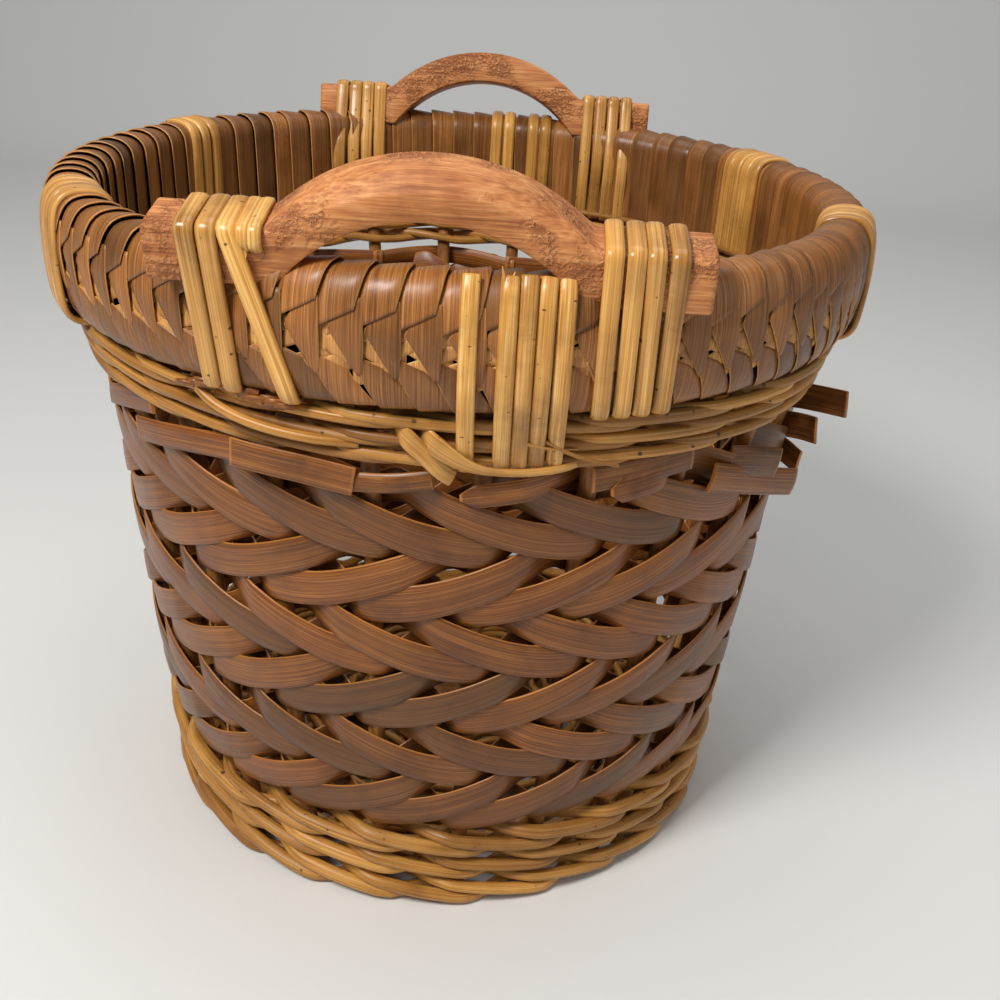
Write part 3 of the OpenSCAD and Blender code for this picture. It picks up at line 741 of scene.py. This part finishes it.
def binding(name, nodes, angle, places, rng, holds=False, low=False, feet=None, lean=0.0,
            tops=None, stop=None, width=CANE_W, thick=CANE_T):
    """Strands side by side, each through its own row of corners, at `place` sideways from the
    group's middle. holds says that they go over a handle, and low that they reach below the
    collar. feet are the places of the strands' lower outer ends, and lean moves them all. tops
    cuts the loops off at the crest, at an own height for each strand; stop cuts them off on the
    outside, at a height, with their ends tucked in."""
    crest_corner, crest_r, tuck, fine, rings = 6, 146.9, [0, 0.2, 0.7, 1.6, 2.8, 4.2], 260, 110
    corners = loop_corners(holds, low)
    feet = np.array(places if feet is None else feet, float) + lean
    lines, outs = [], []
    for i, place in enumerate(places):
        r, z, follows = corners.T
        down = np.clip((SEAT_Z + 14 - z) / 46, 0, 1) * (r > 138)
        side = place + down * (feet[i] - place) + 0.2 * rng.normal()
        depth = np.where(follows > 0, np.sqrt(np.maximum(r * r - side * side, 1)), r)
        path = np.stack([side, -depth, z], -1)
        if tops is not None:
            path = path[crest_corner:]
            path[0] = (place, -math.sqrt(crest_r ** 2 - place ** 2), RIM_Z1 + 0.9 + tops[i])
        path = smooth_line(path, fine, 2)
        if stop is not None:
            path = path[:np.argmax((path[:, 2] < stop) & (np.arange(len(path)) > len(path) // 2))]
            path[-len(tuck):, 1] += tuck
        path = smooth_line(path, rings, 0)
        tangent = np.gradient(path, axis=0)
        normal = np.stack([np.zeros(len(path)), tangent[:, 2], -tangent[:, 1]], -1)
        lines.append(path)
        outs.append(normal / np.linalg.norm(normal, axis=-1, keepdims=True))
    turn = spin(math.radians(angle))
    lines, outs = np.array(lines) @ turn.T, np.array(outs) @ turn.T
    points = cane(lines, outs, width * (1 + 0.05 * rng.normal()), thick)
    along = np.arange(rings)[None, :, None] * CANE_STEP
    grain = noise_grain(along, HALF_ACROSS * width / 2, rng.uniform(0, 40, (len(places), 1, 1)))
    return shell(name, points, CANE, nodes, grain, strip_tone(rng, 0.25, 0.22, len(places)))


def slivers(name, paths, widths, rng):
    """Splinters of cane: each is a thin strip that narrows to a point."""
    count = 10
    lines = np.array([smooth_line(path, count, 1) for path in paths])
    ahead = frames_along(lines)
    aside = np.cross(ahead, [0, 0, 1.0] + 0.2 * lines / RIM_R)
    aside = aside / np.linalg.norm(aside, axis=-1, keepdims=True)
    out = np.cross(aside, ahead)
    narrow = np.linspace(1, 0.12, count)[None, :, None, None] * np.array(widths)[:, None, None, None] / 2
    points = lines[:, :, None] + narrow * (aside[:, :, None] * np.cos(ROUND)[:, None]
                                           + 0.4 * out[:, :, None] * np.sin(ROUND)[:, None])
    grain = noise_grain(np.arange(count)[None, :, None] * 0.5, ROUND, rng.uniform(0, 40, (len(paths), 1, 1)))
    return shell(name, points, CANE, (), grain, 0.0)


def hole_shade_cups(name):
    """Painted shade for the holes through the handles' ends, which the carved handles are made without:
    shallow cups of a near-black material, each a disc with a rounded lip, set square to the block's front and
    back faces."""
    t = np.linspace(0, 2 * np.pi, 24, endpoint=False)
    rings = [(0.2, -0.35), (0.8, -0.3), (0.94, -0.1), (1.0, 0.05), (1.06, -0.25), (0.2, -0.6)]
    radius, lift = np.array(rings).T[:, :, None]
    cups = []
    for turn, side, face in itertools.product((1, -1), (1, -1), (-1, 1)):
        x = side * HOLE_X + HOLE_D / 2 * radius * np.cos(t)
        z = BLOCK_H * HOLE_UP + HOLE_D / 2 * radius * np.sin(t)
        y = face * (HANDLE_T / 2) + face * lift
        cups.append(leant(x, y, z, turn))
    return shell(name, np.array(cups), PAINTED_SHADE)


# ---------------------------------------------------------------- base
def base_rounds(rng):
    """Base: in each round two rods pass over and under the twelve spokes, each a wave of six
    crests round the circle, half a wave apart."""
    spokes, steps, first, last, count, swing, rod = 12, 300, 17.0, 101.0, 14, 4.3, 1.75
    radius = np.linspace(first, last, count)
    t = np.linspace(0, 2 * np.pi, steps)
    phase = np.array([0, np.pi])
    turned = np.pi * (np.arange(count) % 2)[:, None, None]
    wave = swing * np.cos(spokes / 2 * t[None, None] + phase[None, :, None] + turned)
    z = BASE_Z + wave
    r = radius[:, None, None] + 0.0 * wave
    line = np.stack([r * np.sin(t), -r * np.cos(t), z], -1).reshape(-1, steps, 3)
    ahead = frames_along(line)
    out = line * [1, 1, 0] / np.linalg.norm(line[..., :2], axis=-1)[..., None]
    up = np.cross(ahead, out)
    section = np.cos(ROUND)[:, None] * out[:, :, None] + np.sin(ROUND)[:, None] * up[:, :, None]
    points = line[:, :, None] + rod * section
    along = (r * t[None, None]).reshape(-1, steps, 1)
    grain = noise_grain(along, ROUND * rod, np.arange(2 * count)[:, None, None] * 2.3)
    tone = strip_tone(rng, 0.35, 0.2, 2 * count)
    return shell("base_rods", points, ROD, ["base_weave"], grain, tone)


# ---------------------------------------------------------------- the whole basket
rng = np.random.default_rng(7)
for row in range(1, ROWS + 1):
    splint_row(row, rng)
for i in range(1, FOOT_ROUNDS + 1):
    rod_round(f"foot_rods_{i}", f"foot_wale_{i}", FOOT_Z0 + (i - 0.5) * FOOT_ROUND, FOOT_ROD, FOOT_ROUND, rng)
for i in range(1, COLLAR_ROUNDS + 1):
    rod_round(f"collar_rods_{i}", f"collar_wale_{i}", COLLAR_FOOT + (i - 0.5) * COLLAR_BEAT, COLLAR_ROD,
              COLLAR_BEAT, rng, 0.2)
base_rounds(rng)
strips = FRONT_SPLINTS + back_splints(rng)
loose_splints("woven_top_splints", ["top_splint"], *zip(*strips), rng)
loose_rods("crossing_rods", [
    [(-28.5, 7.5, 210.5), (-26, 9.6, 207), (-21, 10.2, 203.4), (-14, 9.0, 201.5), (-8, 5.0, 200.5)],
    [(14, 8.4, 206), (18, 9.6, 200), (24, 9.2, 195)]], [3.2, 1.2], rng)
split_canes("cane_on_a_slant", [
    [(-3.2, 3.0, 207.5), (-1.9, 8.0, 205.6), (0.5, 9.2, 199.5), (2.3, 8.6, 194.2), (3.4, 6.8, 191.6)],
    [(-0.4, 3.0, 207.0), (0.8, 8.2, 205.0), (3.2, 9.9, 200.6), (6.0, 9.8, 196.6), (9.0, 8.8, 194.8),
     (12.75, 8.5, 194.4), (17.0, 8.2, 195.4), (20.0, 4.6, 196.2)]], [(7.6, 5.4), (7.6, 2.6)], rng)
split_canes("long_splinter", [[(11.5, 7.8, 205.5), (14.5, 8.6, 203.4), (18.2, 7.0, 202.0)]],
            [(1.5, 0.7)], rng)
# A line of crushed bark on top of the collar, in short arched scraps.
BARK = [(angle, 8.4 + 1.2 * math.sin(9 * angle), 212.6 + 1.3 * math.sin(5 * angle))
        for angle in np.arange(-30.5, -16.5, 1.15)]
loose_splints("crushed_bark", (), [[(a - 1.3, d - 1.5, z - 0.7), (a, d, z + 0.5), (a + 1.5, d - 1.9, z - 0.2)]
                                   for a, d, z in BARK], [1.6 + 0.8 * (i % 3) for i in range(len(BARK))],
              [i % 2 for i in range(len(BARK))], rng)
leaves("rim_leaves_over", ["rim_plait_upper", "rim_lining"], upper_outline, 40, rng, 0.3, 0.5)
leaves("rim_leaves_middle", ["rim_cords"], middle_outline, 16, rng, 0.1, 0.5)
leaves("rim_leaves_below", ["rim_plait_lower"], lower_outline, 12, rng, 0.0, 0.5)
for name, low, high, half in (("high", 17.5, 9.5, 2.2), ("middle", 21.5, 15.0, 2.2),
                              ("low", 18.0, 25.5, 2.4), ("foot", 28.5, 22.0, 3.0)):
    leaves("rim_slivers_" + name, (), sliver_outline(RIM_Z1 - low, RIM_Z1 - high, half), 6, rng,
           0.0, 0.6, SLIVER)
handle("carved_handle_front", "handle_front", 1)
handle("carved_handle_back", "handle_back", -1)
# Where the strands of a binding lie, sideways from the binding's or the handle's middle.
SIDE = [-8.6, -2.9, 2.9, 8.6]
for name, angle, places, lean in (("right_front", 75, SIDE, 2), ("right_back", 120, SIDE, -2),
                                  ("back", 180, [-6.6, -12.1, -24.2, -29.7], 0),
                                  ("left_back", 240, [-2.9, 2.9, 8.6], 0), ("left_front", 300, SIDE, 2)):
    binding("cane_" + name, ["binding_" + name], angle, places, rng, lean=lean)
binding("cane_front", ["binding_front"], 0, [11.9, 22.4, 27.6, 32.8, 37.8], rng, low=True,
        tops=[0.5, 0.2, 0.6, 0.0, 0.3])
RIGHT_END = [49.2, 55.2, 60.6, 67.0]
LEFT_END = [-65.4, -59.7, -53.9]
for name, places, feet, angle in (("front_right", RIGHT_END, [49.7, 56.0, 62.0, 68.0], 0),
                                  ("front_left", LEFT_END, [-62.6, -56.4, -38.4], 0),
                                  ("back_right", [-p for p in RIGHT_END], None, 180),
                                  ("back_left", RIGHT_END, None, 180)):
    binding("cane_handle_" + name, ["handle_binding_" + name], angle, places, rng, holds=True, feet=feet,
            width=5.4, thick=1.6)
binding("cane_short_left", (), 0, [-49.6, -46.4], rng, holds=True, stop=SEAT_Z + 8.2, width=3.4, thick=1.5)
slivers("cane_splinters", [
    [(-49.4, -145.8, SEAT_Z + 9.5), (-48.6, -146.4, SEAT_Z + 7.5), (-49.6, -146.6, SEAT_Z + 5.2)],
    [(21.0, -147.0, RIM_Z1), (20.6, -147.2, RIM_Z1 + 2), (19.9, -146.6, RIM_Z1 + 4.6)],
    [(22.6, -146.8, RIM_Z1), (22.8, -146.6, RIM_Z1 + 1.6), (23.4, -146.0, RIM_Z1 + 3.2)],
    [(13.0, -147.8, RIM_Z1), (13.3, -147.6, RIM_Z1 + 1), (13.9, -147.2, RIM_Z1 + 1.9)]],
        [1.5, 2.2, 1.4, 1.2], rng)
# Near-black cups as painted shade in the handles' holes.
hole_shade_cups("handle_hole_shade_cups")
loose_rods("inner_rod", [[(a, -6.6, RIM_Z0 - 0.6 + 0.5 * math.sin(a / 19))
                          for a in range(start, start + 181, 10)] for start in (95, 275)],
           [2.6, 2.6], rng, 120)


def node_material(name):
    """Material of a node of the part, by its name."""
    if name.startswith("rim"):
        # The rim's own nodes take the near-black painted shade, so that the gaps between the leaves read as
        # shaded.
        return PAINTED_SHADE
    if name in ("handle_front", "handle_back"):
        return WOOD
    return SPLINT if "splint" in name else STAKE


for name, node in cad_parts.items():
    node.data.materials.clear()
    node.data.materials.append(node_material(name))


# ---------------------------------------------------------------- floor, light and camera
def plain_material(name, colour, rough):
    """A plain surface of one colour, for what stands round the basket."""
    material, _, shader = new_material(name)
    shader.inputs["Base Color"].default_value = linear(colour)
    shader.inputs["Roughness"].default_value = rough
    return material


def floor():
    """A pale sheet: level, then a quarter of an ellipse up behind, in metres."""
    count = 60
    run = np.linspace(0, 1, count)
    y = np.where(run < 0.7, -2 + run / 0.7 * 3.2, 1.2 + 0.6 * np.sin((run - 0.7) / 0.3 * np.pi / 2))
    z = np.where(run < 0.7, 0, 2.2 * (1 - np.cos((run - 0.7) / 0.3 * np.pi / 2)))
    x = np.linspace(-3, 3, 2)
    grid = np.stack(np.broadcast_arrays(x[None], y[:, None], z[:, None]), -1).reshape(-1, 3)
    i = np.arange(count - 1)[:, None] * 2
    mesh = bpy.data.meshes.new("backdrop")
    mesh.from_pydata(grid.tolist(), [], np.hstack([i, i + 1, i + 3, i + 2]).tolist())
    mesh.polygons.foreach_set("use_smooth", [True] * (count - 1))
    mesh.materials.append(plain_material("pale backdrop", (226, 226, 224), 0.8))
    sheet = bpy.data.objects.new("backdrop", mesh)
    bpy.context.scene.collection.objects.link(sheet)


def lamp(name, place, size, power, colour=(1, 1, 1)):
    """A soft square lamp that points at the basket's middle."""
    light = bpy.data.lights.new(name, "AREA")
    light.size, light.energy, light.color = size, power, colour
    lamp_object = bpy.data.objects.new(name, light)
    lamp_object.location = place
    lamp_object.rotation_euler = (Vector((0, 0, 0.14)) - Vector(place)).to_track_quat("-Z", "Y").to_euler()
    bpy.context.scene.collection.objects.link(lamp_object)


def camera():
    """The photograph's view: a pinhole fitted to the rim, the foot and the wall's heights. aside
    and aloft turn it so far that the picture's middle moves by so many pixels."""
    focal, distance, elevation, roll = 1180.0, 501.73, math.radians(24.88), math.radians(-2.42)
    aside, aloft = -48.4 / focal, 28.92 / focal
    object_turn = math.radians(3.5)
    ahead = np.array([0, math.cos(elevation), -math.sin(elevation)])
    right = np.array([1.0, 0, 0])
    up = np.cross(right, ahead)
    eye = np.array([0, -distance * math.cos(elevation), 130 + distance * math.sin(elevation)])
    pan = np.array([[math.cos(aside), 0, math.sin(aside)], [0, 1, 0], [-math.sin(aside), 0, math.cos(aside)]])
    tip = np.array([[1, 0, 0], [0, math.cos(aloft), math.sin(aloft)], [0, -math.sin(aloft), math.cos(aloft)]])
    axes = (spin(roll) @ tip @ pan) @ np.array([right, up, ahead])
    axes, eye = axes @ spin(object_turn).T, spin(object_turn) @ eye * MM
    lens = bpy.data.cameras.new("photo view")
    lens.sensor_width = 36
    lens.lens = 36 * focal / 1000
    lens.clip_start = 0.01
    view = bpy.data.objects.new("photo_view", lens)
    matrix = Matrix.Identity(4)
    for row in range(3):
        matrix[row][0], matrix[row][1], matrix[row][2], matrix[row][3] = (
            axes[0][row], axes[1][row], -axes[2][row], eye[row])
    view.matrix_world = matrix
    bpy.context.scene.collection.objects.link(view)
    bpy.context.scene.camera = view


floor()
camera()
lamp("key", (-0.42, -0.64, 0.94), 0.3, 11, (1, 0.97, 0.93))
lamp("fill", (1.3, -0.7, 0.8), 1.2, 3.5)
lamp("top", (0.1, 0.3, 1.6), 1.2, 8)
world = bpy.data.worlds.new("room")
bpy.context.scene.world = world
world.use_nodes = True
world.node_tree.nodes["Background"].inputs["Color"].default_value = linear((222, 224, 226))
world.node_tree.nodes["Background"].inputs["Strength"].default_value = 0.26
bpy.context.scene.view_settings.view_transform = "Standard"
